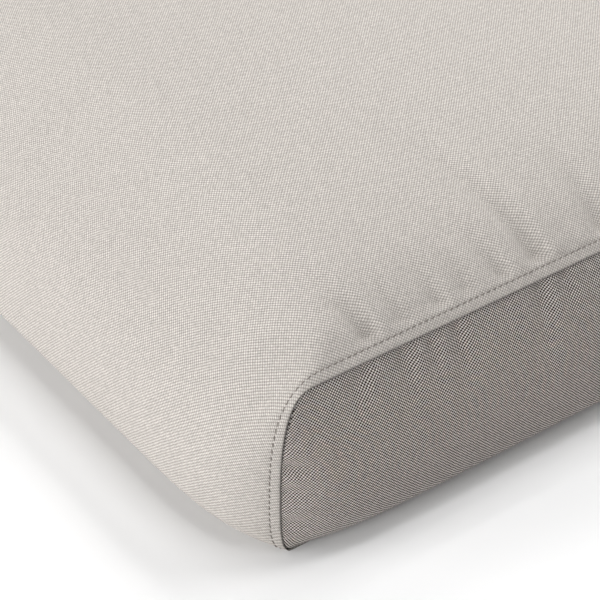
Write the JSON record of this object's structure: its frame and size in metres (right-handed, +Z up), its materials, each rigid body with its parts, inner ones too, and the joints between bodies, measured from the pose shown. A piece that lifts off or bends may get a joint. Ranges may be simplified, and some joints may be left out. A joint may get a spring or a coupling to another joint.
{
  "type": "chair cushion",
  "caption": "Boxed chair cushion in beige plain-weave cloth, with a crowned top, a rolled front and back, and bulging topstitched side panels.",
  "frame": {"origin": "middle of the flat underside that the cushion lies on", "axes": "+X towards the right side panel, -Y towards the front roll, +Z up, out of the crowned top"},
  "size_m": [0.503, 0.514, 0.116],
  "materials": {
    "wrap_cloth": "matt plain weave, pale beige-grey",
    "side_cloth": "matt plain weave, pale beige-grey",
    "thread": "matt sewing thread, greyish beige"
  },
  "bodies": {
    "root": {"cushion_body": "wrap_cloth", "side_panel_right": "side_cloth", "side_panel_left": "side_cloth"}
  },
  "joints": []
}
